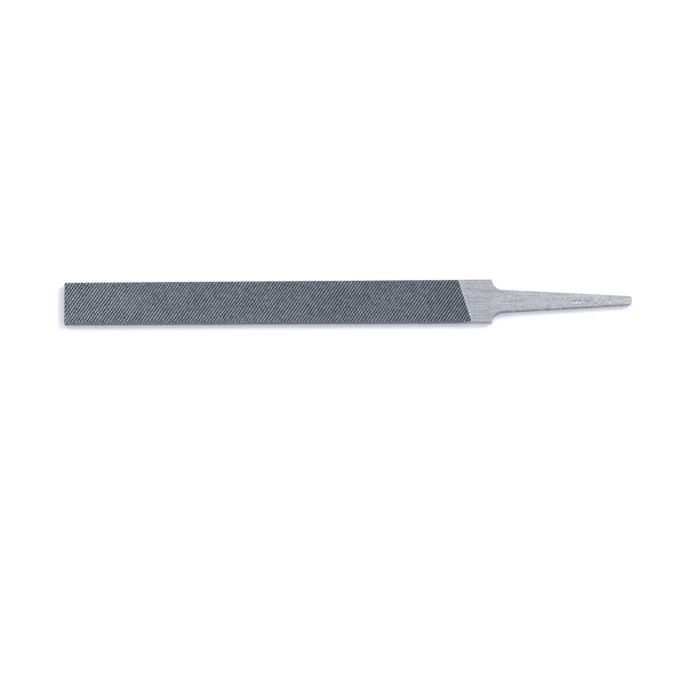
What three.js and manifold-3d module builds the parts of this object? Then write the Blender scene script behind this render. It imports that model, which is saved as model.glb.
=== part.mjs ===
// A flat file for metalwork: a forged steel bar with two cut faces, one cut edge, one safe edge and a bare tang.
// The real tool is a single forging. Each mesh here is one of its named zones, and neighbours meet face to face.
// Millimetres, +Z up. X runs from the square point (-X) to the tang (+X), and the origin is the centre of the
// underside.
import * as THREE from "three";
import { mergeVertices } from "three/addons/utils/BufferGeometryUtils.js";
import Module from "manifold-3d";

const wasm = await Module();
wasm.setup();

// ---- Driving dimensions, in millimetres and degrees ----

const bodyLength = 150; // from the point to the shoulder, which is the length that a file is sold by
const heelWidth = 15;
const widthTaper = 0.4; // the point is narrower than the heel by this much
const thickness = 4;

const tangLength = 49; // from the shoulder to the tang's end
const tangRootWidth = 7.5;
const tangEndWidth = 2.8;
const tangEndThickness = 2.4;
const tangEndRadius = 0.8; // of the end's two corners, seen from above

const faceClearance = 9.5; // from the shoulder to the last row of a face, on the centre line
const edgeClearance = 9.3; // from the shoulder to the last row of the cut edge, at mid thickness
const faceRowAngle = 73; // between a face's rows of teeth and the file's length
const edgeRowAngle = 65; // the same for the cut edge
const rowPitch = 0.7; // square across the rows, which is about 14 rows to the centimetre
const toothDepth = 0.25;
const rakeRun = 0.1; // how far a tooth's steep front leans over its depth
const tipLand = 0.05; // the narrow flat along a tooth's top
const cutLayer = 0.5; // from the tooth tops down to the steel that no tooth reaches

const curveSegments = 24;
const mergeTolerance = 1e-4;

// ---- Places worked out from them ----

const pointX = -(bodyLength + tangLength) / 2;
const pointWidth = heelWidth - widthTaper;
const shoulderX = pointX + bodyLength;
const tangEndX = shoulderX + tangLength;
const shoulderRadius = (heelWidth - tangRootWidth) / 2; // each shoulder is a quarter circle down to the tang
const tangRootX = shoulderX + shoulderRadius;
const midZ = thickness / 2;

const faceRows = THREE.MathUtils.degToRad(faceRowAngle);
const edgeRows = THREE.MathUtils.degToRad(edgeRowAngle);
const edgeTaper = Math.atan2(widthTaper / 2, bodyLength);

// The heel starts where the slanted rows reach furthest towards the tang.
const heelStartX = shoulderX - faceClearance + heelWidth / 2 / Math.tan(faceRows);

// Cutting tools run past the steel by this much. Rows are slanted, so along them a tool is as long as the body.
const overrun = 1;
const rowReach = bodyLength;

// ---- Solids ----

// A closed geometry as a solid that can be joined and cut.
function toSolid(geometry) {
  const bare = geometry.clone();
  bare.deleteAttribute("normal");
  bare.deleteAttribute("uv");
  const merged = mergeVertices(bare, mergeTolerance);
  return new wasm.Manifold(
    new wasm.Mesh({
      numProp: 3,
      vertProperties: new Float32Array(merged.attributes.position.array),
      triVerts: new Uint32Array(merged.index.array),
    }),
  );
}

// A solid as a geometry with flat-shaded facets.
function toGeometry(solid) {
  const { vertProperties, triVerts } = solid.getMesh();
  const indexed = new THREE.BufferGeometry();
  indexed.setAttribute("position", new THREE.BufferAttribute(vertProperties, 3));
  indexed.setIndex(new THREE.BufferAttribute(triVerts, 1));
  const facets = indexed.toNonIndexed();
  facets.computeVertexNormals();
  return facets;
}

function shapeThrough(points) {
  return new THREE.Shape(points.map(([x, y]) => new THREE.Vector2(x, y)));
}

// A prism in its own frame: an outline in XY, from z = low to z = high, then moved by a matrix if there is one.
function prism(outline, low, high, matrix = new THREE.Matrix4()) {
  const geometry = new THREE.ExtrudeGeometry(outline, {
    depth: high - low,
    bevelEnabled: false,
    curveSegments,
  });
  return toSolid(geometry.translate(0, 0, low).applyMatrix4(matrix));
}

// ---- The bar ----

// Half of the bar's width at x. It grows evenly from the point to the shoulder.
function halfWidthAt(x) {
  return pointWidth / 2 + (x - pointX) * Math.tan(edgeTaper);
}

function bladeBlank() {
  const outline = shapeThrough([
    [pointX, -pointWidth / 2],
    [heelStartX, -halfWidthAt(heelStartX)],
    [heelStartX, halfWidthAt(heelStartX)],
    [pointX, pointWidth / 2],
  ]);
  return prism(outline, 0, thickness);
}

// Everything between the forging's upper and lower surfaces: level to the shoulder, then closing in along the tang.
function sideEnvelope() {
  const outline = shapeThrough([
    [heelStartX, 0],
    [shoulderX, 0],
    [tangEndX, midZ - tangEndThickness / 2],
    [tangEndX, midZ + tangEndThickness / 2],
    [shoulderX, thickness],
    [heelStartX, thickness],
  ]);
  return prism(outline, -heelWidth, heelWidth, new THREE.Matrix4().makeRotationX(Math.PI / 2));
}

function heelSolid() {
  const outline = new THREE.Shape();
  outline.moveTo(heelStartX, -halfWidthAt(heelStartX));
  outline.lineTo(shoulderX, -heelWidth / 2);
  outline.absarc(tangRootX, -heelWidth / 2, shoulderRadius, Math.PI, Math.PI / 2, true);
  outline.lineTo(tangRootX, tangRootWidth / 2);
  outline.absarc(tangRootX, heelWidth / 2, shoulderRadius, -Math.PI / 2, -Math.PI, true);
  outline.lineTo(heelStartX, halfWidthAt(heelStartX));
  return prism(outline, 0, thickness).intersect(sideEnvelope());
}

function tangSolid() {
  // A side's slope, and the centre of the corner round that touches both the side and the end.
  const slope = (tangRootWidth - tangEndWidth) / 2 / (tangEndX - tangRootX);
  const lean = Math.atan(slope);
  const cornerX = tangEndX - tangEndRadius;
  const cornerY = tangEndWidth / 2 + slope * tangEndRadius - tangEndRadius / Math.cos(lean);

  const outline = new THREE.Shape();
  outline.moveTo(tangRootX, tangRootWidth / 2);
  outline.lineTo(tangRootX, -tangRootWidth / 2);
  outline.absarc(cornerX, -cornerY, tangEndRadius, lean - Math.PI / 2, 0, false);
  outline.absarc(cornerX, cornerY, tangEndRadius, 0, Math.PI / 2 - lean, false);
  return prism(outline, 0, thickness).intersect(sideEnvelope());
}

// ---- The cut ----

// A cut surface's own frame: X square across the rows towards the tang, Y out of the steel, Z along the rows.
// Its origin is where the last row ends, on the tooth tops.
function cutFrame(origin, across, outward) {
  const along = new THREE.Vector3().crossVectors(across, outward);
  return new THREE.Matrix4().makeBasis(across, outward, along).setPosition(origin);
}

function upperFaceFrame() {
  return cutFrame(
    new THREE.Vector3(shoulderX - faceClearance, 0, thickness),
    new THREE.Vector3(Math.sin(faceRows), Math.cos(faceRows), 0),
    new THREE.Vector3(0, 0, 1),
  );
}

// Turned over about the file's length, the lower face is cut as the upper one is.
function lowerFaceFrame() {
  return cutFrame(
    new THREE.Vector3(shoulderX - faceClearance, 0, 0),
    new THREE.Vector3(Math.sin(faceRows), -Math.cos(faceRows), 0),
    new THREE.Vector3(0, 0, -1),
  );
}

function cutEdgeFrame() {
  const endX = shoulderX - edgeClearance;
  const alongEdge = new THREE.Vector3(Math.cos(edgeTaper), -Math.sin(edgeTaper), 0);
  const across = alongEdge.multiplyScalar(Math.sin(edgeRows));
  across.z = Math.cos(edgeRows);
  return cutFrame(
    new THREE.Vector3(endX, -halfWidthAt(endX), midZ),
    across,
    new THREE.Vector3(-Math.sin(edgeTaper), -Math.cos(edgeTaper), 0),
  );
}

// The space that a cut layer takes up: as deep as the layer, and ending in a wall beside the last row.
function layerSpace(frame) {
  const outline = shapeThrough([
    [-bodyLength - heelWidth, -cutLayer],
    [0, -cutLayer],
    [0, overrun],
    [-bodyLength - heelWidth, overrun],
  ]);
  return prism(outline, -rowReach, rowReach, frame);
}

// What the chisel takes away above the teeth. Each tooth has a steep front towards the point and a long back
// towards the tang. The sawtooth's peaks stand above the steel, so that a narrow land is left on each tooth.
function chiselCuts(frame) {
  const peakX = (rakeRun * rowPitch) / (rowPitch - tipLand);
  const peakY = (toothDepth * tipLand) / (rowPitch - tipLand);
  const rows = Math.ceil((bodyLength + heelWidth) / rowPitch);
  const points = [
    [overrun, overrun],
    [overrun, -toothDepth],
    [0, -toothDepth],
  ];
  for (let row = 1; row <= rows; row++) {
    points.push([-row * rowPitch + peakX, peakY]);
    points.push([-row * rowPitch, -toothDepth]);
  }
  points.push([-rows * rowPitch, overrun]);
  return prism(shapeThrough(points.reverse()), -rowReach, rowReach, frame);
}

function bladeSolids() {
  const blank = bladeBlank();
  const upper = upperFaceFrame();
  const lower = lowerFaceFrame();
  const edge = cutEdgeFrame();
  const betweenFaces = blank.subtract(layerSpace(upper)).subtract(layerSpace(lower));
  return {
    core: betweenFaces.subtract(layerSpace(edge)),
    upperFace: blank.intersect(layerSpace(upper)).subtract(chiselCuts(upper)),
    lowerFace: blank.intersect(layerSpace(lower)).subtract(chiselCuts(lower)),
    edge: betweenFaces.intersect(layerSpace(edge)).subtract(chiselCuts(edge)),
  };
}

// ---- Materials and the assembly ----

// Steel left as the grinding belt leaves it.
function groundSteel() {
  return new THREE.MeshStandardMaterial({ color: 0xb8bbc2, roughness: 0.38, metalness: 0.9 });
}

// The same steel where it is cut and hardened, which leaves it a darker grey.
function hardenedSteel() {
  return new THREE.MeshStandardMaterial({ color: 0x666d77, roughness: 0.5, metalness: 0.9 });
}

function zone(name, solid, material) {
  const mesh = new THREE.Mesh(toGeometry(solid), material);
  mesh.name = name;
  return mesh;
}

const blade = bladeSolids();
const flatFile = new THREE.Group();
flatFile.add(
  zone("blade_core", blade.core, groundSteel()),
  zone("upper_cut_face", blade.upperFace, hardenedSteel()),
  zone("lower_cut_face", blade.lowerFace, hardenedSteel()),
  zone("cut_edge", blade.edge, hardenedSteel()),
  zone("heel", heelSolid(), groundSteel()),
  zone("tang", tangSolid(), groundSteel()),
);

export default flatFile;
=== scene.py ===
"""A flat file for metalwork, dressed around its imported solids.

The tool is one forging, and it is made here in the order of a file works: a bar is forged and ground, two
faces and one edge are struck with chisels, and the tang is stamped. Lengths are in metres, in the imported
part's frame: +X runs from the square point to the tang, +Y towards the safe edge, and +Z out of the upper
face.
"""

from __future__ import annotations

import logging
import math
from collections.abc import Callable, Iterator
from contextlib import contextmanager
from dataclasses import dataclass
from enum import Enum

import bmesh
import bpy
from mathutils import Matrix, Vector

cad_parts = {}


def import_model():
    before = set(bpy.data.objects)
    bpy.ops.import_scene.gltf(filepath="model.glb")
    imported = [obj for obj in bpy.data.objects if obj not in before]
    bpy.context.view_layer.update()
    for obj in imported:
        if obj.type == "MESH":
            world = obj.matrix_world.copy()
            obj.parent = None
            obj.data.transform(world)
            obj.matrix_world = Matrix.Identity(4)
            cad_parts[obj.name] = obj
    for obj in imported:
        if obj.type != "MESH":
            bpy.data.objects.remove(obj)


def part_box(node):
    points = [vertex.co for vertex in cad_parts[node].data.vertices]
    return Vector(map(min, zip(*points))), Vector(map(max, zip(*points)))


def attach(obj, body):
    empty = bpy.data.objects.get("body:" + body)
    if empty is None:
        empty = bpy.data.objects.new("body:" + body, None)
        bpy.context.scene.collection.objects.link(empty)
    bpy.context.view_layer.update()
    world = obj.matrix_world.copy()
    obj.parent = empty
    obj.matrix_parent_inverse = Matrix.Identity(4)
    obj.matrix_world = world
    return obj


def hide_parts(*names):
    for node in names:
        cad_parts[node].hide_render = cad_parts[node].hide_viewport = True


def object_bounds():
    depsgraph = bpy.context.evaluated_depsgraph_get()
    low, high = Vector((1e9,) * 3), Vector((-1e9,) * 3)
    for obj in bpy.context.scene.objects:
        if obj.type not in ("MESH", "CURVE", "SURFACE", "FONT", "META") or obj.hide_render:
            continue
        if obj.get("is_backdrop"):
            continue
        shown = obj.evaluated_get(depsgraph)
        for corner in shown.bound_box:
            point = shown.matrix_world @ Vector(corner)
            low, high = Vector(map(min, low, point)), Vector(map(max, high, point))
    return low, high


LOG = logging.getLogger("flat_file")

MM = 0.001
WELD = 1e-7  # points closer than this are one point
FACING = 0.9  # a face looks along an axis where its normal's share of that axis is larger
STAMP_Y = -0.55 * MM  # the stamped numbers' middle line, a little towards the cut edge
BODY = "root"


# ---- Bench work: the few moves that every piece is made with ----


def activate(piece: bpy.types.Object) -> None:
    """Makes one object the only selected one, and the active one.

    Args:
        piece: the object to work on next.
    """
    bpy.ops.object.select_all(action="DESELECT")
    piece.select_set(True)
    bpy.context.view_layer.objects.active = piece


@contextmanager
def editing(piece: bpy.types.Object) -> Iterator[None]:
    """Opens edit mode on one object with nothing selected, and closes it again.

    Args:
        piece: the mesh object to edit.
    """
    activate(piece)
    bpy.ops.object.mode_set(mode="EDIT")
    bpy.ops.mesh.select_all(action="DESELECT")
    yield
    bpy.ops.object.mode_set(mode="OBJECT")


def select_faces(piece: bpy.types.Object, wanted: Callable[[bmesh.types.BMFace], bool]) -> None:
    """Selects faces by place or normal, in edit mode.

    Args:
        piece: the mesh object that is being edited.
        wanted: says of a face whether it is selected.
    """
    mesh = bmesh.from_edit_mesh(piece.data)
    bpy.ops.mesh.select_mode(type="FACE")
    for face in mesh.faces:
        face.select_set(wanted(face))
    bmesh.update_edit_mesh(piece.data)


def select_edges(piece: bpy.types.Object, wanted: Callable[[Vector, Vector], bool]) -> None:
    """Selects edges by the places of their two ends, in edit mode.

    Args:
        piece: the mesh object that is being edited.
        wanted: says of an edge's two ends whether it is selected.
    """
    bpy.ops.mesh.select_all(action="DESELECT")
    bpy.ops.mesh.select_mode(type="EDGE")
    mesh = bmesh.from_edit_mesh(piece.data)
    for edge in mesh.edges:
        edge.select_set(wanted(*(corner.co for corner in edge.verts)))
    bmesh.update_edit_mesh(piece.data)


def add_block(name: str, low: Vector, high: Vector) -> bpy.types.Object:
    """Adds a rectangular block at its size and place.

    Args:
        name: the new object's name.
        low: the lowest corner.
        high: the highest corner.

    Returns:
        The block, with its place in its mesh.
    """
    low, high = Vector(low), Vector(high)
    bpy.ops.object.select_all(action="DESELECT")
    bpy.ops.mesh.primitive_cube_add(size=1, location=(low + high) / 2, scale=high - low)
    block = bpy.context.object
    block.name = name
    bpy.ops.object.transform_apply(location=True, rotation=True, scale=True)
    return block


def copy_of(piece: bpy.types.Object, name: str) -> bpy.types.Object:
    """Copies an object, with a mesh of its own.

    Args:
        piece: the object to copy.
        name: the copy's name.

    Returns:
        The copy.
    """
    activate(piece)
    bpy.ops.object.duplicate(linked=False)
    copy = bpy.context.object
    copy.name = name
    return copy


def place(piece: bpy.types.Object, matrix: Matrix) -> None:
    """Moves an object by a matrix, and puts the move into its mesh.

    Args:
        piece: the object to move.
        matrix: where its own frame goes.
    """
    activate(piece)
    piece.matrix_world = matrix
    bpy.ops.object.transform_apply(location=True, rotation=True, scale=True)


def saw_off(piece: bpy.types.Object, point: Vector, away: Vector) -> None:
    """Saws a solid along a plane, drops what is beyond it and closes the cut.

    Args:
        piece: the solid.
        point: a point of the plane.
        away: the plane's normal, towards what is dropped.
    """
    with editing(piece):
        bpy.ops.mesh.select_all(action="SELECT")
        bpy.ops.mesh.bisect(
            plane_co=point, plane_no=away, use_fill=True, clear_outer=True, threshold=WELD
        )


def apply_modifier(piece: bpy.types.Object, kind: str, **settings: object) -> None:
    """Gives an object a modifier and applies it.

    Args:
        piece: the object.
        kind: Blender's name for the kind of modifier.
        **settings: the modifier's settings.
    """
    activate(piece)
    modifier = piece.modifiers.new(kind.title(), kind)
    for name, value in settings.items():
        setattr(modifier, name, value)
    bpy.ops.object.modifier_apply(modifier=modifier.name)


def cut_away(work: bpy.types.Object, tool: bpy.types.Object) -> None:
    """Takes the tool's space out of the work. The tool stays.

    Args:
        work: the solid that is cut.
        tool: the solid that cuts it.
    """
    apply_modifier(work, "BOOLEAN", operation="DIFFERENCE", solver="MANIFOLD", object=tool)


def discard(*pieces: bpy.types.Object) -> None:
    """Removes objects that are no longer needed."""
    for piece in pieces:
        bpy.data.objects.remove(piece)


def coat(piece: bpy.types.Object, steels: list[bpy.types.Material], slot: int = 0) -> None:
    """Gives an object its materials, and every face the same one of them.

    Args:
        piece: the object.
        steels: its materials.
        slot: the place in that list of the one that its faces get.
    """
    piece.data.materials.clear()
    for steel in steels:
        piece.data.materials.append(steel)
    piece.data.polygons.foreach_set("material_index", [slot] * len(piece.data.polygons))


def refinish(
    piece: bpy.types.Object, slot: int, wanted: Callable[[bmesh.types.BMFace], bool]
) -> None:
    """Gives some of an object's faces another of its materials.

    Args:
        piece: the object.
        slot: the place of the material in the object's list.
        wanted: says of a face whether it gets that material.
    """
    with editing(piece):
        select_faces(piece, wanted)
        piece.active_material_index = slot
        bpy.ops.object.material_slot_assign()


# ---- Sizes ----


@dataclass(frozen=True)
class FileSizes:
    """The forging's sizes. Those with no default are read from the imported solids."""

    point_x: float
    heel_x: float  # where the blade ends and the heel begins
    root_x: float  # where the heel ends and the tang begins
    end_x: float
    half_width: float
    root_half_width: float
    thickness: float
    face_end_x: float  # the face's last row, at the near edge
    width_taper: float = 0.4 * MM  # the point is narrower than the heel by this much
    tang_end_width: float = 2.8 * MM
    tang_end_thickness: float = 2.4 * MM
    tang_end_radius: float = 0.8 * MM

    @classmethod
    def from_frame(cls) -> FileSizes:
        """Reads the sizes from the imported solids.

        Returns:
            The sizes, in metres.
        """
        heel_low, heel_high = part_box("heel")
        tang_low, tang_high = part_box("tang")
        return cls(
            point_x=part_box("blade_core")[0].x,
            heel_x=heel_low.x,
            root_x=tang_low.x,
            end_x=tang_high.x,
            half_width=heel_high.y,
            root_half_width=tang_high.y,
            thickness=heel_high.z,
            face_end_x=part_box("upper_cut_face")[1].x,
        )

    @property
    def shoulder_radius(self) -> float:
        """Each shoulder is a quarter circle from the blade's side down to the tang's."""
        return self.half_width - self.root_half_width

    @property
    def shoulder_x(self) -> float:
        """Where the body ends."""
        return self.root_x - self.shoulder_radius

    @property
    def body_length(self) -> float:
        """From the point to the shoulder."""
        return self.shoulder_x - self.point_x

    @property
    def mid_z(self) -> float:
        """Half way up the file."""
        return self.thickness / 2

    @property
    def edge_lean(self) -> float:
        """The angle between a side and the file's length, from the width's taper."""
        return math.atan2(self.width_taper / 2, self.body_length)

    def half_width_at(self, x: float) -> float:
        """Half of the blade's width.

        Args:
            x: the place along the file.

        Returns:
            Half the width there.
        """
        return self.half_width - (self.shoulder_x - x) * math.tan(self.edge_lean)

    def half_thickness_at(self, x: float) -> float:
        """Half of the tang's thickness, which closes in evenly from the shoulder.

        Args:
            x: the place along the tang.

        Returns:
            Half the thickness there.
        """
        share = (x - self.shoulder_x) / (self.end_x - self.shoulder_x)
        return (self.thickness + (self.tang_end_thickness - self.thickness) * share) / 2


# ---- Finishes ----


def linear(hex_colour: str) -> tuple[float, float, float, float]:
    """Turns an sRGB hex colour into the linear one that a shader takes.

    Args:
        hex_colour: six hex digits.

    Returns:
        Linear red, green, blue and an alpha of 1.
    """
    channels = [int(hex_colour[i : i + 2], 16) / 255 for i in (0, 2, 4)]
    steps = [c / 12.92 if c <= 0.04045 else ((c + 0.055) / 1.055) ** 2.4 for c in channels]
    return (*steps, 1.0)


def add_node(
    material: bpy.types.Material,
    kind: str,
    settings: dict[str | int, object] | None = None,
    links: dict[str | int, bpy.types.NodeSocket] | None = None,
) -> bpy.types.Node:
    """Adds a shader node with its settings and links.

    Args:
        material: the material that it belongs to.
        kind: the node's type.
        settings: values by an input's name or number, or by the name of a setting of the node itself.
        links: the output socket that feeds each input, by the input's name or number.

    Returns:
        The node.
    """
    node = material.node_tree.nodes.new(kind)
    for key, value in (settings or {}).items():
        if isinstance(key, int) or key in node.inputs:
            node.inputs[key].default_value = value
        else:
            setattr(node, key, value)
    for key, source in (links or {}).items():
        material.node_tree.links.new(source, node.inputs[key])
    return node


def new_material(name: str) -> tuple[bpy.types.Material, bpy.types.NodeSocket]:
    """Starts a material.

    Args:
        name: the material's name.

    Returns:
        The material with its plain surface shader, and the place on the object that its patterns follow.
    """
    material = bpy.data.materials.new(name)
    material.use_nodes = True
    return material, add_node(material, "ShaderNodeTexCoord").outputs["Object"]


def dress_surface(
    material: bpy.types.Material,
    tones: tuple[str, str],
    share: bpy.types.NodeSocket,
    settings: dict[str, float],
    links: dict[str, bpy.types.NodeSocket] | None = None,
) -> bpy.types.Material:
    """Gives a material's surface shader a colour between two tones, and its other inputs.

    Args:
        material: the material.
        tones: the two sRGB hex colours.
        share: how much of the second one there is.
        settings: values by the shader input's name.
        links: the output socket that feeds each other input, by the input's name.

    Returns:
        The same material.
    """
    first, second = 6, 7  # where a Mix node takes its two colours
    mixed = 2  # where it gives the result
    colour = add_node(
        material,
        "ShaderNodeMix",
        {"data_type": "RGBA", first: linear(tones[0]), second: linear(tones[1])},
        {"Factor": share},
    ).outputs[mixed]
    shader = material.node_tree.nodes["Principled BSDF"]
    material.node_tree.links.new(colour, shader.inputs["Base Color"])
    for key, value in settings.items():
        shader.inputs[key].default_value = value
    for key, source in (links or {}).items():
        material.node_tree.links.new(source, shader.inputs[key])
    return material


NOISE_LOW, NOISE_HIGH = 0.25, 0.75  # a noise pattern's values lie almost all between these


@dataclass(frozen=True)
class GroundSteel:
    """Bare high-carbon tool steel, ground on a belt along its length: fine lines over a satin grey."""

    bright: str = "bbbcbd"
    dull: str = "858689"
    roughness: float = 0.34
    # A belt leaves lines a few hundredths of a millimetre apart. They are drawn coarser, to show.
    line_pitch: float = 0.6 * MM
    line_length: float = 9 * MM
    mottle: float = 0.8 * MM  # how far apart duller patches lie
    contrast: tuple[float, float] = (0.7, 1.3)  # the patterns' sum, where dull and where bright
    gloss_swing: float = 0.06
    line_relief: float = 0.003 * MM

    def make(self) -> bpy.types.Material:
        """Makes the material.

        Returns:
            The material.
        """
        material, place_on = new_material("ground_tool_steel")
        along = (1 / self.line_length, 1 / self.line_pitch, 1 / self.line_pitch)
        stretched = add_node(material, "ShaderNodeMapping", {"Scale": along}, {"Vector": place_on})
        grind = add_node(
            material,
            "ShaderNodeTexNoise",
            {"Scale": 1.0, "Detail": 3.0, "Roughness": 0.6},
            {"Vector": stretched.outputs["Vector"]},
        ).outputs["Fac"]
        mottle = add_node(
            material, "ShaderNodeTexNoise", {"Scale": 1 / self.mottle, "Detail": 3.0}, {"Vector": place_on}
        ).outputs["Fac"]
        both = add_node(material, "ShaderNodeMath", {"operation": "ADD"}, {0: grind, 1: mottle})
        share = add_node(
            material,
            "ShaderNodeMapRange",
            {"From Min": self.contrast[0], "From Max": self.contrast[1]},
            {"Value": both.outputs[0]},
        ).outputs["Result"]
        gloss = add_node(
            material,
            "ShaderNodeMapRange",
            {"To Min": self.roughness + self.gloss_swing, "To Max": self.roughness - self.gloss_swing},
            {"Value": share},
        ).outputs["Result"]
        relief = add_node(material, "ShaderNodeBump", {"Distance": self.line_relief}, {"Height": grind})
        return dress_surface(
            material,
            (self.dull, self.bright),
            share,
            {"Metallic": 1.0},
            {"Roughness": gloss, "Normal": relief.outputs["Normal"]},
        )


@dataclass(frozen=True)
class ForgedSteel:
    """The same steel as the forge leaves it, never ground: dark, pitted scale with bare metal in it."""

    bare: str = "bdbec1"
    scale: str = "56575d"
    roughness: float = 0.55
    pit: float = 0.8 * MM  # how far apart the patches of scale lie
    contrast: tuple[float, float] = (0.37, 0.63)  # the pattern, where scale and where bare
    scale_dulling: float = 0.15
    bare_polish: float = 0.1
    pit_relief: float = 0.05 * MM

    def make(self) -> bpy.types.Material:
        """Makes the material.

        Returns:
            The material.
        """
        material, place_on = new_material("forged_tool_steel")
        pits = add_node(
            material,
            "ShaderNodeTexNoise",
            {"Scale": 1 / self.pit, "Detail": 4.0, "Roughness": 0.7},
            {"Vector": place_on},
        ).outputs["Fac"]
        share = add_node(
            material,
            "ShaderNodeMapRange",
            {"From Min": self.contrast[0], "From Max": self.contrast[1]},
            {"Value": pits},
        ).outputs["Result"]
        gloss = add_node(
            material,
            "ShaderNodeMapRange",
            {"To Min": self.roughness + self.scale_dulling, "To Max": self.roughness - self.bare_polish},
            {"Value": share},
        ).outputs["Result"]
        relief = add_node(material, "ShaderNodeBump", {"Distance": self.pit_relief}, {"Height": pits})
        return dress_surface(
            material,
            (self.scale, self.bare),
            share,
            {"Metallic": 1.0},
            {"Roughness": gloss, "Normal": relief.outputs["Normal"]},
        )


@dataclass(frozen=True)
class CutSteel:
    """The same steel as the chisel and the hardening bath leave it: blue-grey, painted darker towards each
    groove's bottom as painted shade, with brighter tips.
    """

    surface: ToothedSurface
    tooth_depth: float
    tip: str = "91979e"
    # The second colour is painted shade: the darker colour that the grooves take towards their bottoms.
    groove: str = "2b323b"
    roughness: float = 0.4
    row_pitch: float = 0.917 * MM  # how often the blow's weight changes from mark to mark
    row_length: float = 0.6 * MM  # the same along a mark
    blow_weight: float = 0.3
    stain_weight: float = 0.06
    patch: float = 8 * MM  # how far apart lie the stains that the hardening bath leaves
    grain: float = 0.12 * MM  # of the torn steel, coarser than the real one so that it shows
    groove_dulling: float = 0.1
    tip_polish: float = 0.05
    grain_relief: float = 0.01 * MM

    def make(self) -> bpy.types.Material:
        """Makes the material.

        Returns:
            The material.
        """
        material, place_on = new_material("cut_hardened_steel")
        # The surface's own coordinates: rows passed, lengths along a row, tooth depths out of the steel.
        frame = self.surface.frame()
        on_surface = add_node(
            material,
            "ShaderNodeMapping",
            {
                "vector_type": "TEXTURE",
                "Location": frame.translation,
                "Rotation": frame.to_euler(),
                "Scale": (self.row_pitch, self.row_length, self.tooth_depth),
            },
            {"Vector": place_on},
        ).outputs["Vector"]
        height = add_node(material, "ShaderNodeSeparateXYZ", links={"Vector": on_surface}).outputs["Z"]
        # Painted shade: this share falls from the tips down to the groove bottoms, so the colour darkens
        # into the grooves.
        shade_by_depth = add_node(
            material, "ShaderNodeMapRange", {"From Min": -1.0, "From Max": 0.0}, {"Value": height}
        ).outputs["Result"]
        blows = add_node(
            material, "ShaderNodeTexNoise", {"Scale": 1.0, "Detail": 2.0}, {"Vector": on_surface}
        ).outputs["Fac"]
        stains = add_node(
            material, "ShaderNodeTexNoise", {"Scale": 1 / self.patch, "Detail": 3.0}, {"Vector": place_on}
        ).outputs["Fac"]
        torn = add_node(
            material, "ShaderNodeTexNoise", {"Scale": 1 / self.grain, "Detail": 2.0}, {"Vector": place_on}
        ).outputs["Fac"]
        share = shade_by_depth
        for pattern, weight in ((blows, self.blow_weight), (stains, self.stain_weight)):
            uneven = add_node(
                material,
                "ShaderNodeMapRange",
                {"From Min": NOISE_LOW, "From Max": NOISE_HIGH, "To Min": -weight, "To Max": weight},
                {"Value": pattern},
            ).outputs["Result"]
            share = add_node(
                material,
                "ShaderNodeMath",
                {"operation": "ADD", "use_clamp": True},
                {0: share, 1: uneven},
            ).outputs[0]
        gloss = add_node(
            material,
            "ShaderNodeMapRange",
            {"To Min": self.roughness + self.groove_dulling, "To Max": self.roughness - self.tip_polish},
            {"Value": share},
        ).outputs["Result"]
        relief = add_node(material, "ShaderNodeBump", {"Distance": self.grain_relief}, {"Height": torn})
        return dress_surface(
            material,
            (self.groove, self.tip),
            share,
            {"Metallic": 1.0},
            {"Roughness": gloss, "Normal": relief.outputs["Normal"]},
        )


@dataclass(frozen=True)
class StruckSteel:
    """A painted highlight: pale, slightly mottled steel for the chamfer beside the last row, brighter than
    the steel's own colour.
    """

    clean: str = "e9eaec"
    mottled: str = "cbccce"
    roughness: float = 0.42
    mottle: float = 0.4 * MM
    contrast: tuple[float, float] = (0.4, 0.6)  # the pattern, where mottled and where the paler painted highlight

    def make(self) -> bpy.types.Material:
        """Makes the material.

        Returns:
            The material.
        """
        material, place_on = new_material("chamfer_painted_highlight")
        mottle = add_node(
            material, "ShaderNodeTexNoise", {"Scale": 1 / self.mottle, "Detail": 2.0}, {"Vector": place_on}
        ).outputs["Fac"]
        share = add_node(
            material,
            "ShaderNodeMapRange",
            {"From Min": self.contrast[0], "From Max": self.contrast[1]},
            {"Value": mottle},
        ).outputs["Result"]
        return dress_surface(
            material,
            (self.mottled, self.clean),
            share,
            {"Metallic": 1.0, "Roughness": self.roughness},
        )


@dataclass(frozen=True)
class StampedSteel:
    """Steel inside a punched mark, painted pale as a highlight on the near side and dark as shade on the
    safe edge's side.
    """

    clean: str = "f0f1f3"
    residue: str = "46474c"
    roughness: float = 0.42
    fade: float = 0.6 * MM  # the width over which the painted shade gives way to the painted highlight
    grain: float = 0.3 * MM
    unevenness: float = 0.3

    def make(self) -> bpy.types.Material:
        """Makes the material.

        Returns:
            The material.
        """
        material, place_on = new_material("stamp_painted_light_and_shade")
        sideways = add_node(material, "ShaderNodeSeparateXYZ", links={"Vector": place_on}).outputs["Y"]
        # Painted highlight and shade: the mark turns from pale to dark across its width, towards the safe
        # edge.
        fading = add_node(
            material,
            "ShaderNodeMapRange",
            {"From Min": STAMP_Y + self.fade / 2, "From Max": STAMP_Y - self.fade / 2, "clamp": False},
            {"Value": sideways},
        ).outputs["Result"]
        grain = add_node(
            material, "ShaderNodeTexNoise", {"Scale": 1 / self.grain, "Detail": 2.0}, {"Vector": place_on}
        ).outputs["Fac"]
        uneven = add_node(
            material,
            "ShaderNodeMapRange",
            {
                "From Min": NOISE_LOW,
                "From Max": NOISE_HIGH,
                "To Min": -self.unevenness,
                "To Max": self.unevenness,
            },
            {"Value": grain},
        ).outputs["Result"]
        share = add_node(
            material, "ShaderNodeMath", {"operation": "ADD", "use_clamp": True}, {0: fading, 1: uneven}
        ).outputs[0]
        return dress_surface(
            material,
            (self.residue, self.clean),
            share,
            {"Metallic": 1.0, "Roughness": self.roughness},
        )


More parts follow.
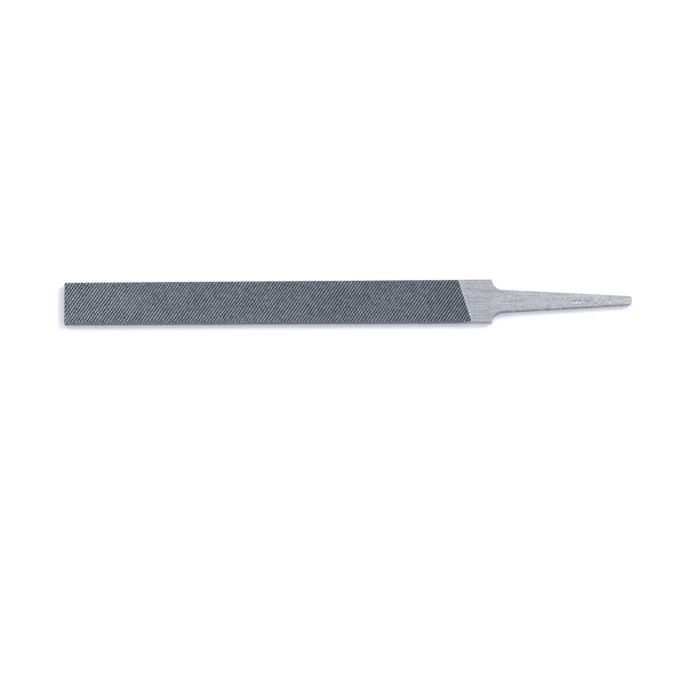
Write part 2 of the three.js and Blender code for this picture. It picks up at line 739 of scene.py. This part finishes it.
@dataclass(frozen=True)
class StudioPaper:
    """A sweep of matt white paper, with the faint unevenness of its fibres."""

    light: str = "f9f9f9"
    shade: str = "f6f6f6"
    fibre: float = 2 * MM
    roughness: float = 0.9

    def make(self) -> bpy.types.Material:
        """Makes the material.

        Returns:
            The material.
        """
        material, place_on = new_material("matt_studio_paper")
        fibres = add_node(
            material, "ShaderNodeTexNoise", {"Scale": 1 / self.fibre}, {"Vector": place_on}
        ).outputs["Fac"]
        return dress_surface(material, (self.shade, self.light), fibres, {"Roughness": self.roughness})


class Steel(Enum):
    """The place of each bare steel in a piece's list of materials."""

    GROUND = 0
    # The pale finish at 1 is a painted highlight, for the chamfers beside the last rows.
    STRUCK = 1
    # The finish at 2 paints highlight and shade into the punched marks.
    STAMPED = 2
    FORGED = 3


@dataclass(frozen=True)
class Steels:
    """The finishes of the bare steel, shared by all pieces so that they run on from one to the next."""

    ground: bpy.types.Material
    # A painted highlight: pale steel for the chamfers beside the last rows.
    struck: bpy.types.Material
    # Painted highlight and shade for the punched marks.
    stamped: bpy.types.Material
    forged: bpy.types.Material

    @classmethod
    def make(cls) -> Steels:
        """Makes the finishes.

        Returns:
            The finishes.
        """
        return cls(
            ground=GroundSteel().make(),
            struck=StruckSteel().make(),
            stamped=StampedSteel().make(),
            forged=ForgedSteel().make(),
        )

    def in_order(self) -> list[bpy.types.Material]:
        """Lists the finishes by their place."""
        return [getattr(self, steel.name.lower()) for steel in Steel]


# ---- The forging ----


@dataclass(frozen=True)
class Forging:
    """The bar as it is forged and ground, before any tooth is cut."""

    sizes: FileSizes
    steels: Steels
    shoulder_steps: int = 16
    edge_break: float = 0.08 * MM  # of every long edge
    edge_steps: int = 5
    edge_angle: float = math.radians(40)  # an edge that turns by more than this is broken
    corner_steps: int = 6
    flat_angle: float = math.radians(0.1)  # faces that turn by less than this are one face
    side_lean: float = 0.3  # a side's normal has a smaller share of Z than this

    def blank(self) -> bpy.types.Object:
        """Draws the bar out from a block: the blade, its two shoulders and the tang.

        Returns:
            The whole forging as one solid.
        """
        s = self.sizes
        bar = add_block(
            "forging", (s.point_x, -s.half_width, 0), (s.shoulder_x, s.half_width, s.thickness)
        )
        with editing(bar):
            select_faces(bar, lambda face: face.normal.x < -FACING)
            narrowing = s.half_width_at(s.point_x) / s.half_width
            bpy.ops.transform.resize(
                value=(1, narrowing, 1), center_override=(s.point_x, 0, s.mid_z)
            )
            select_faces(bar, lambda face: face.normal.x > FACING)
            before = (s.shoulder_x, s.half_width, s.mid_z)
            for section in self.tang_sections():
                self.draw_out(before, section)
                before = section
            self.round_tang_end(bar)
            bpy.ops.mesh.select_all(action="SELECT")
            bpy.ops.mesh.dissolve_limited(angle_limit=self.flat_angle)
        apply_modifier(
            bar,
            "BEVEL",
            width=self.edge_break,
            segments=self.edge_steps,
            limit_method="ANGLE",
            angle_limit=self.edge_angle,
            loop_slide=False,
        )
        coat(bar, self.steels.in_order())
        self.leave_forged(bar)
        return bar

    def leave_forged(self, bar: bpy.types.Object) -> None:
        """Leaves the shoulders' and the tang's sides as they were forged. Only their faces are ground.

        Args:
            bar: the forging.
        """
        first_x = self.sizes.shoulder_x + WELD
        refinish(
            bar,
            Steel.FORGED.value,
            lambda face: abs(face.normal.z) < self.side_lean and face.calc_center_median().x > first_x,
        )

    def tang_sections(self) -> list[tuple[float, float, float]]:
        """The sections that the shoulders and the tang pass through.

        Returns:
            For each section its x, half its width and half its thickness.
        """
        s = self.sizes
        sections = []
        for step in range(1, self.shoulder_steps + 1):
            turn = math.radians(90) * step / self.shoulder_steps
            x = s.root_x - s.shoulder_radius * math.cos(turn)
            half_width = s.half_width - s.shoulder_radius * math.sin(turn)
            sections.append((x, half_width, s.half_thickness_at(x)))
        sections.append((s.end_x, s.tang_end_width / 2, s.half_thickness_at(s.end_x)))
        return sections

    def draw_out(self, before: tuple[float, float, float], after: tuple[float, float, float]) -> None:
        """Extrudes the selected end face to the next section.

        Args:
            before: the end face's x, half width and half thickness.
            after: the same for the next section.
        """
        bpy.ops.mesh.extrude_region_move(TRANSFORM_OT_translate={"value": (after[0] - before[0], 0, 0)})
        bpy.ops.transform.resize(
            value=(1, after[1] / before[1], after[2] / before[2]),
            center_override=(after[0], 0, self.sizes.mid_z),
        )

    def round_tang_end(self, bar: bpy.types.Object) -> None:
        """Rounds the tang end's two corners, as they are seen from above.

        Args:
            bar: the forging, in edit mode.
        """
        s = self.sizes
        select_edges(
            bar,
            lambda first, second: min(first.x, second.x) > s.end_x - WELD
            and abs(first.z - second.z) > s.tang_end_thickness / 2,
        )
        bpy.ops.mesh.bevel(offset=s.tang_end_radius, segments=self.corner_steps, affect="EDGES")

    def zone(
        self, bar: bpy.types.Object, name: str, from_x: float | None, to_x: float | None
    ) -> bpy.types.Object:
        """Takes one zone of the forging between two places along it.

        Args:
            bar: the forging.
            name: the zone's name.
            from_x: where the zone begins, or None at the point.
            to_x: where it ends, or None at the tang's end.

        Returns:
            The zone as a closed solid.
        """
        zone = copy_of(bar, name)
        if from_x is not None:
            saw_off(zone, Vector((from_x, 0, 0)), Vector((-1, 0, 0)))
        if to_x is not None:
            saw_off(zone, Vector((to_x, 0, 0)), Vector((1, 0, 0)))
        return zone


# ---- The teeth ----


class Lean(Enum):
    """Which end of a row lies nearer the point."""

    FAR_END = 1
    NEAR_END = -1


@dataclass(frozen=True)
class Chisel:
    """A chisel and its marks: grooves with a steep wall towards the tang and a long one behind."""

    pitch: float
    depth: float
    steep_run: float  # how far the steep wall leans over its depth
    land: float  # what is left flat between two marks
    headroom: float = 0.01 * MM  # how far the tool stands out of the steel

    def comb(self, marks: int, reach: float) -> bpy.types.Object:
        """Makes the space that a set of marks takes up. The first mark's bottom is at the origin.

        Args:
            marks: how many marks there are, one after another towards -X.
            reach: half the length of a mark, along Y.

        Returns:
            The marks as one object, with the steel's surface at z = 0.
        """
        spread = (self.depth + self.headroom) / self.depth
        steep = self.steep_run * spread
        long_run = (self.pitch - self.steep_run - self.land) * spread
        comb = add_block("comb", (-long_run, -reach, -self.depth), (steep, reach, self.headroom))
        with editing(comb):
            select_faces(comb, lambda face: face.normal.z < -FACING)
            bpy.ops.transform.resize(value=(0, 1, 1), center_override=(0, 0, -self.depth))
            bpy.ops.mesh.select_all(action="SELECT")
            bpy.ops.mesh.remove_doubles(threshold=WELD)
        apply_modifier(
            comb,
            "ARRAY",
            count=marks,
            use_relative_offset=False,
            use_constant_offset=True,
            constant_offset_displace=(-self.pitch, 0, 0),
        )
        return comb


@dataclass(frozen=True)
class ToothedSurface:
    """A surface of the blade that is cut: where its last row lies, and which way it faces."""

    origin: Vector
    across: Vector  # square across the rows, towards the tang
    outward: Vector

    def frame(self) -> Matrix:
        """The surface's own frame: X across the rows, Y along them and Z out of the steel.

        Returns:
            The matrix that takes that frame to its place.
        """
        across, outward = self.across.normalized(), self.outward.normalized()
        along = outward.cross(across)
        turned = Matrix((across, along, outward)).transposed().to_4x4()
        return Matrix.Translation(self.origin) @ turned

    def moved(self, matrix: Matrix) -> ToothedSurface:
        """The same surface after a move.

        Args:
            matrix: the move, with no change of scale.

        Returns:
            The moved surface.
        """
        turn = matrix.to_3x3()
        return ToothedSurface(matrix @ self.origin, turn @ self.across, turn @ self.outward)


@dataclass(frozen=True)
class Teeth:
    """The cut of the file: double rows on both faces and a single row on the near edge."""

    sizes: FileSizes
    up_angle: float = math.radians(73)  # between the second, sharper cut's rows and the file's length
    over_angle: float = math.radians(55)  # the same for the first cut, which crosses it
    edge_angle: float = math.radians(65)
    edge_clearance: float = 9.3 * MM  # from the shoulder to the edge's last row, at mid thickness
    layer: float = 0.5 * MM  # from the tips down to steel that no tooth reaches
    chamfer_run: float = 0.28 * MM  # of the ground face, beside the last row
    chamfer_drop: float = 0.12 * MM
    up_chisel: Chisel = Chisel(0.7 * MM, 0.25 * MM, 0.1 * MM, 0.05 * MM)
    over_chisel: Chisel = Chisel(0.917 * MM, 0.36 * MM, 0.42 * MM, 0.06 * MM)
    edge_chisel: Chisel = up_chisel
    overrun: float = 1 * MM
    bed_reach: float = 1.2  # how long the space of a layer is, in body lengths, as its end is slanted

    @property
    def rows_per_cm(self) -> int:
        """How many rows of the second cut lie in a centimetre."""
        return round(10 * MM / self.up_chisel.pitch)

    def upper(self, angle: float, lean: Lean) -> ToothedSurface:
        """The upper face, as one set of rows sees it.

        Args:
            angle: between the rows and the file's length.
            lean: which end of a row lies nearer the point.

        Returns:
            The surface. Its origin is the near corner of the face's last row.
        """
        s = self.sizes
        across = Vector((math.sin(angle), lean.value * math.cos(angle), 0))
        corner = Vector((s.face_end_x, -s.half_width_at(s.face_end_x), s.thickness))
        return ToothedSurface(corner, across, Vector((0, 0, 1)))

    def near_edge(self) -> ToothedSurface:
        """The near edge.

        Returns:
            The surface. Its origin is the edge's last row, at mid thickness.
        """
        s = self.sizes
        x = s.shoulder_x - self.edge_clearance
        outward = Vector((-math.sin(s.edge_lean), -math.cos(s.edge_lean), 0))
        along = Vector((math.cos(s.edge_lean), -math.sin(s.edge_lean), 0))
        across = along * math.sin(self.edge_angle) + Vector((0, 0, math.cos(self.edge_angle)))
        return ToothedSurface(Vector((x, -s.half_width_at(x), s.mid_z)), across, outward)

    def turned_over(self) -> Matrix:
        """The turn about the file's length that takes the upper face to the lower one."""
        centre = Matrix.Translation((0, 0, self.sizes.mid_z))
        return centre @ Matrix.Rotation(math.pi, 4, "X") @ centre.inverted()

    def strike(self, work: list[bpy.types.Object], chisel: Chisel, surface: ToothedSurface) -> None:
        """Strikes a full set of marks into solids.

        Args:
            work: the solids that share the surface.
            chisel: the chisel.
            surface: where its rows lie.
        """
        s = self.sizes
        marks = math.ceil((s.body_length + 2 * s.half_width) / chisel.pitch)
        comb = chisel.comb(marks, s.body_length)
        place(comb, surface.frame())
        for piece in work:
            cut_away(piece, comb)
        discard(comb)

    def bed_tool(self, surface: ToothedSurface) -> bpy.types.Object:
        """The space of a whole toothed layer, to be taken out of the blade's body.

        Args:
            surface: the surface that the layer lies under.

        Returns:
            The space as a solid.
        """
        length = self.sizes.body_length
        tool = add_block(
            "bed", (-length * self.bed_reach, -length, -self.layer), (0, length, self.overrun)
        )
        place(tool, surface.frame())
        return tool

    def chamfer_tool(self, surface: ToothedSurface) -> bpy.types.Object:
        """The space that a chamfer along a surface's last row takes out of the ground steel beside it.

        Args:
            surface: the toothed surface.

        Returns:
            The space as a solid.
        """
        run, drop = surface.across * self.chamfer_run, surface.outward * self.chamfer_drop
        sideways = surface.outward * self.chamfer_run - surface.across * self.chamfer_drop
        sloping = ToothedSurface(surface.origin + run, run + drop, sideways)
        length = self.sizes.body_length
        tool = add_block("chamfer", (-self.overrun, -length, 0), (self.overrun, length, self.overrun))
        place(tool, sloping.frame())
        return tool

    def face_layer(self, blade: bpy.types.Object) -> bpy.types.Object:
        """Takes the blade's upper layer and strikes both sets of rows into it.

        Args:
            blade: the blade before it is cut.

        Returns:
            The upper face's teeth, with their side walls and their underside.
        """
        s = self.sizes
        layer = copy_of(blade, "upper_face_teeth")
        rows = self.upper(self.up_angle, Lean.FAR_END)
        saw_off(layer, Vector((0, 0, s.thickness - self.layer)), Vector((0, 0, -1)))
        saw_off(layer, rows.origin, rows.across)
        self.strike([layer], self.over_chisel, self.upper(self.over_angle, Lean.NEAR_END))
        self.strike([layer], self.up_chisel, rows)
        return layer

    def edge_layer(self, blade: bpy.types.Object) -> bpy.types.Object:
        """Takes the blade's near side, between the two face layers.

        Args:
            blade: the blade before it is cut.

        Returns:
            The near edge's layer, not yet struck.
        """
        s = self.sizes
        layer = copy_of(blade, "near_edge_teeth")
        rows = self.near_edge()
        saw_off(layer, Vector((0, 0, s.thickness - self.layer)), Vector((0, 0, 1)))
        saw_off(layer, Vector((0, 0, self.layer)), Vector((0, 0, -1)))
        saw_off(layer, rows.origin - rows.outward * self.layer, -rows.outward)
        saw_off(layer, rows.origin, rows.across)
        return layer


@dataclass(frozen=True)
class Blade:
    """The blade: its ground body and the three toothed layers on it."""

    sizes: FileSizes
    teeth: Teeth
    steels: Steels
    ground_slot: int = 1  # of a toothed layer, whose first material is its teeth's
    square: float = 0.99  # a ground wall's normal has a larger share of its axis than this

    def build(self, blade: bpy.types.Object, heel: bpy.types.Object) -> list[bpy.types.Object]:
        """Cuts the blade into its body and its three toothed layers.

        Args:
            blade: the forging's blade, which becomes the body.
            heel: the forging's heel, which shares the chamfers beside the last rows.

        Returns:
            The body, then the upper face's, lower face's and near edge's teeth.
        """
        teeth = self.teeth
        face = teeth.upper(teeth.up_angle, Lean.FAR_END)
        edge = teeth.near_edge()
        over = teeth.turned_over()
        upper = teeth.face_layer(blade)
        lower = copy_of(upper, "lower_face_teeth")
        place(lower, over)
        near = teeth.edge_layer(blade)
        teeth.strike([upper, lower, near], teeth.edge_chisel, edge)
        for surface in (face, face.moved(over), edge):
            bed = teeth.bed_tool(surface)
            coat(bed, self.steels.in_order())
            cut_away(blade, bed)
            discard(bed)
        for surface in (face, face.moved(over)):
            chamfer = teeth.chamfer_tool(surface)
            # The chamfer's faces are painted pale: a painted highlight along the last row.
            coat(chamfer, self.steels.in_order(), Steel.STRUCK.value)
            cut_away(blade, chamfer)
            cut_away(heel, chamfer)
            discard(chamfer)
        blade.name = "blade_body"
        smooth_rounds(blade)
        rows, depth = teeth.upper(teeth.over_angle, Lean.NEAR_END), teeth.over_chisel.depth
        self.dress_layer(upper, CutSteel(rows, depth))
        self.dress_layer(lower, CutSteel(rows.moved(over), depth))
        # The near edge's tips are painted darker than the faces' tips: painted shade on that side.
        self.dress_layer(near, CutSteel(edge, teeth.edge_chisel.depth, tip="848990"))
        return [blade, upper, lower, near]

    def dress_layer(self, layer: bpy.types.Object, finish: CutSteel) -> None:
        """Gives a toothed layer its finish, with ground walls on the safe edge and at the point.

        Args:
            layer: the toothed layer.
            finish: the finish of its teeth.
        """
        last_x = self.sizes.point_x + WELD
        coat(layer, [finish.make(), self.steels.ground])
        refinish(
            layer,
            self.ground_slot,
            lambda face: face.normal.y > self.square
            or face.normal.x < -self.square
            and face.calc_center_median().x < last_x,
        )


ROUND_ANGLE = math.radians(20)  # steps of a round turn by less than this, and chamfers by more


def smooth_rounds(piece: bpy.types.Object) -> None:
    """Shades a ground piece's small rounds smooth and keeps its flats and chamfers flat.

    Args:
        piece: the piece.
    """
    activate(piece)
    bpy.ops.object.shade_smooth_by_angle(angle=ROUND_ANGLE)
    apply_modifier(piece, "WEIGHTED_NORMAL", keep_sharp=True)


# ---- The stamp ----


@dataclass(frozen=True)
class Stamp:
    """Punched numbers: the body's length in mm, a dash, then the cut's rows per centimetre and grade."""

    sizes: FileSizes
    steels: Steels
    rows_per_cm: int
    length_x: float = 80 * MM
    dash_x: float = 84.6 * MM
    cut_x: float = 90 * MM
    dash_size: tuple[float, float] = (3.6 * MM, 0.25 * MM)
    dash_bottom: tuple[float, float] = (0.9, 0.4)  # the share of its length and width that is left there
    digit_height: float = 1.4 * MM
    digit_share: float = 0.7  # of the letter size that a digit is high
    digit_curve_steps: int = 3
    digit_spacing: float = 1.3
    depth: float = 0.12 * MM
    grade: int = 2

    def strike(self, tang: bpy.types.Object) -> None:
        """Punches the numbers and the dash into the tang's upper face.

        Args:
            tang: the tang.
        """
        length = round(self.sizes.body_length / MM)
        punches = [
            self.number_punch(str(length), self.length_x),
            self.dash_punch(),
            self.number_punch(f"{self.rows_per_cm}-{self.grade}", self.cut_x),
        ]
        for punch in punches:
            # The marks' faces get painted highlight and shade.
            coat(punch, self.steels.in_order(), Steel.STAMPED.value)
            cut_away(tang, punch)
            discard(punch)

    def surface_z(self, x: float) -> float:
        """The height of the tang's upper face."""
        return self.sizes.mid_z + self.sizes.half_thickness_at(x)

    def number_punch(self, text: str, x: float) -> bpy.types.Object:
        """Makes the space that a punched number takes up.

        Args:
            text: the digits and any hyphen.
            x: the middle of the number, along the file.

        Returns:
            The space as a solid.
        """
        bpy.ops.object.select_all(action="DESELECT")
        bpy.ops.object.text_add()
        punch = bpy.context.object
        punch.data.body = text
        punch.data.align_x = "CENTER"
        punch.data.align_y = "CENTER"
        punch.data.size = self.digit_height / self.digit_share
        punch.data.space_character = self.digit_spacing
        punch.data.extrude = self.depth
        punch.data.resolution_u = self.digit_curve_steps
        bpy.ops.object.convert(target="MESH")
        with editing(punch):
            bpy.ops.mesh.select_all(action="SELECT")
            bpy.ops.mesh.remove_doubles(threshold=WELD)
            bpy.ops.mesh.normals_make_consistent(inside=False)
        place(punch, Matrix.Translation((x, STAMP_Y, self.surface_z(x))))
        return punch

    def dash_punch(self) -> bpy.types.Object:
        """Makes the space that the dash takes up.

        Returns:
            The space as a solid, pointed towards its bottom as a chisel is.
        """
        length, width = self.dash_size
        z = self.surface_z(self.dash_x)
        low = (self.dash_x - length / 2, -width / 2, z - self.depth)
        punch = add_block("dash_punch", low, (self.dash_x + length / 2, width / 2, z + self.depth))
        with editing(punch):
            select_faces(punch, lambda face: face.normal.z < -FACING)
            bpy.ops.transform.resize(
                value=(*self.dash_bottom, 1), center_override=(self.dash_x, 0, low[2])
            )
        return punch


# ---- The studio ----


@dataclass(frozen=True)
class Studio:
    """A pale floor, soft light and a camera with a long lens, nearly overhead."""

    elevation: float = math.radians(78)
    roll: float = math.radians(0.35)
    lens_mm: float = 240
    sensor_mm: float = 36
    frame_width: float = 245.7 * MM  # what the frame spans at the file
    aside: float = 0.55 * MM  # how far right of the file the frame's middle lies
    below: float = 16.7 * MM  # how far below it
    floor_size: float = 8.0
    floor_gap: float = 0.02 * MM
    sky: float = 1.08
    sky_colour: str = "f2f5ff"
    key_power: float = 24.0
    key_size: float = 0.75
    key_distance: float = 2.5
    key_elevation: float = math.radians(54)
    key_azimuth: float = math.radians(32)

    def build(self, low: Vector, high: Vector) -> None:
        """Sets up the floor, the lights and the camera round the file.

        Args:
            low: the file's lowest corner.
            high: its highest corner.
        """
        centre = (low + high) / 2
        self.lay_floor(low.z - self.floor_gap)
        self.light(centre)
        self.set_camera(centre)
        bpy.context.scene.view_settings.view_transform = "Standard"

    def lay_floor(self, z: float) -> None:
        """Lays the floor.

        Args:
            z: its height.
        """
        bpy.ops.object.select_all(action="DESELECT")
        bpy.ops.mesh.primitive_plane_add(size=self.floor_size, location=(0, 0, z))
        floor = bpy.context.object
        floor.name = "studio_floor"
        bpy.ops.object.transform_apply(location=True, rotation=True, scale=True)
        floor.data.materials.append(StudioPaper().make())
        floor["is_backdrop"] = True

    def light(self, centre: Vector) -> None:
        """Hangs the soft key light and fills the room with even light.

        Args:
            centre: the file's centre.
        """
        direction = Vector(
            (
                math.cos(self.key_azimuth) * math.cos(self.key_elevation),
                math.sin(self.key_azimuth) * math.cos(self.key_elevation),
                math.sin(self.key_elevation),
            )
        )
        bpy.ops.object.light_add(type="AREA", location=centre + direction * self.key_distance)
        key = bpy.context.object
        key.name = "key_light"
        key.rotation_euler = direction.to_track_quat("Z", "Y").to_euler()
        key.data.size = self.key_size
        key.data.energy = self.key_power
        world = bpy.data.worlds.new("studio_room")
        world.use_nodes = True
        background = world.node_tree.nodes["Background"]
        background.inputs["Color"].default_value = linear(self.sky_colour)
        background.inputs["Strength"].default_value = self.sky
        bpy.context.scene.world = world

    def set_camera(self, centre: Vector) -> None:
        """Aims the camera.

        Args:
            centre: the file's centre.
        """
        back = Vector((0, -math.cos(self.elevation), math.sin(self.elevation)))
        up = Vector((0, math.sin(self.elevation), math.cos(self.elevation)))
        distance = self.frame_width / self.sensor_mm * self.lens_mm
        aim = centre + Vector((self.aside, 0, 0)) - up * self.below
        bpy.ops.object.camera_add(location=aim + back * distance)
        camera = bpy.context.object
        turned = Matrix((Vector((1, 0, 0)), up, back)).transposed()
        camera.rotation_euler = (turned @ Matrix.Rotation(-self.roll, 3, "Z")).to_euler()
        camera.data.lens = self.lens_mm
        camera.data.sensor_width = self.sensor_mm
        bpy.context.scene.camera = camera


def hand_over(piece: bpy.types.Object, node: str) -> None:
    """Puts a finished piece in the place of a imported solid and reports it.

    Args:
        piece: the finished piece.
        node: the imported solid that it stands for.
    """
    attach(piece, BODY)
    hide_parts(node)
    LOG.info("%s stands for %s, with %d faces", piece.name, node, len(piece.data.polygons))


def main() -> None:
    """Builds the file and the studio round it."""
    logging.basicConfig(level=logging.INFO, format="%(name)s: %(message)s")
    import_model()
    packed_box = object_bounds()
    sizes = FileSizes.from_frame()
    teeth = Teeth(sizes)
    steels = Steels.make()

    forging = Forging(sizes, steels)
    bar = forging.blank()
    blade = forging.zone(bar, "blade", None, sizes.heel_x)
    heel = forging.zone(bar, "ground_heel", sizes.heel_x, sizes.root_x)
    tang = forging.zone(bar, "forged_tang", sizes.root_x, None)
    discard(bar)

    body, upper, lower, near = Blade(sizes, teeth, steels).build(blade, heel)
    smooth_rounds(heel)
    Stamp(sizes, steels, teeth.rows_per_cm).strike(tang)
    smooth_rounds(tang)

    hand_over(body, "blade_core")
    hand_over(upper, "upper_cut_face")
    hand_over(lower, "lower_cut_face")
    hand_over(near, "cut_edge")
    hand_over(heel, "heel")
    hand_over(tang, "tang")

    Studio().build(*packed_box)


if __name__ == "__main__":
    main()
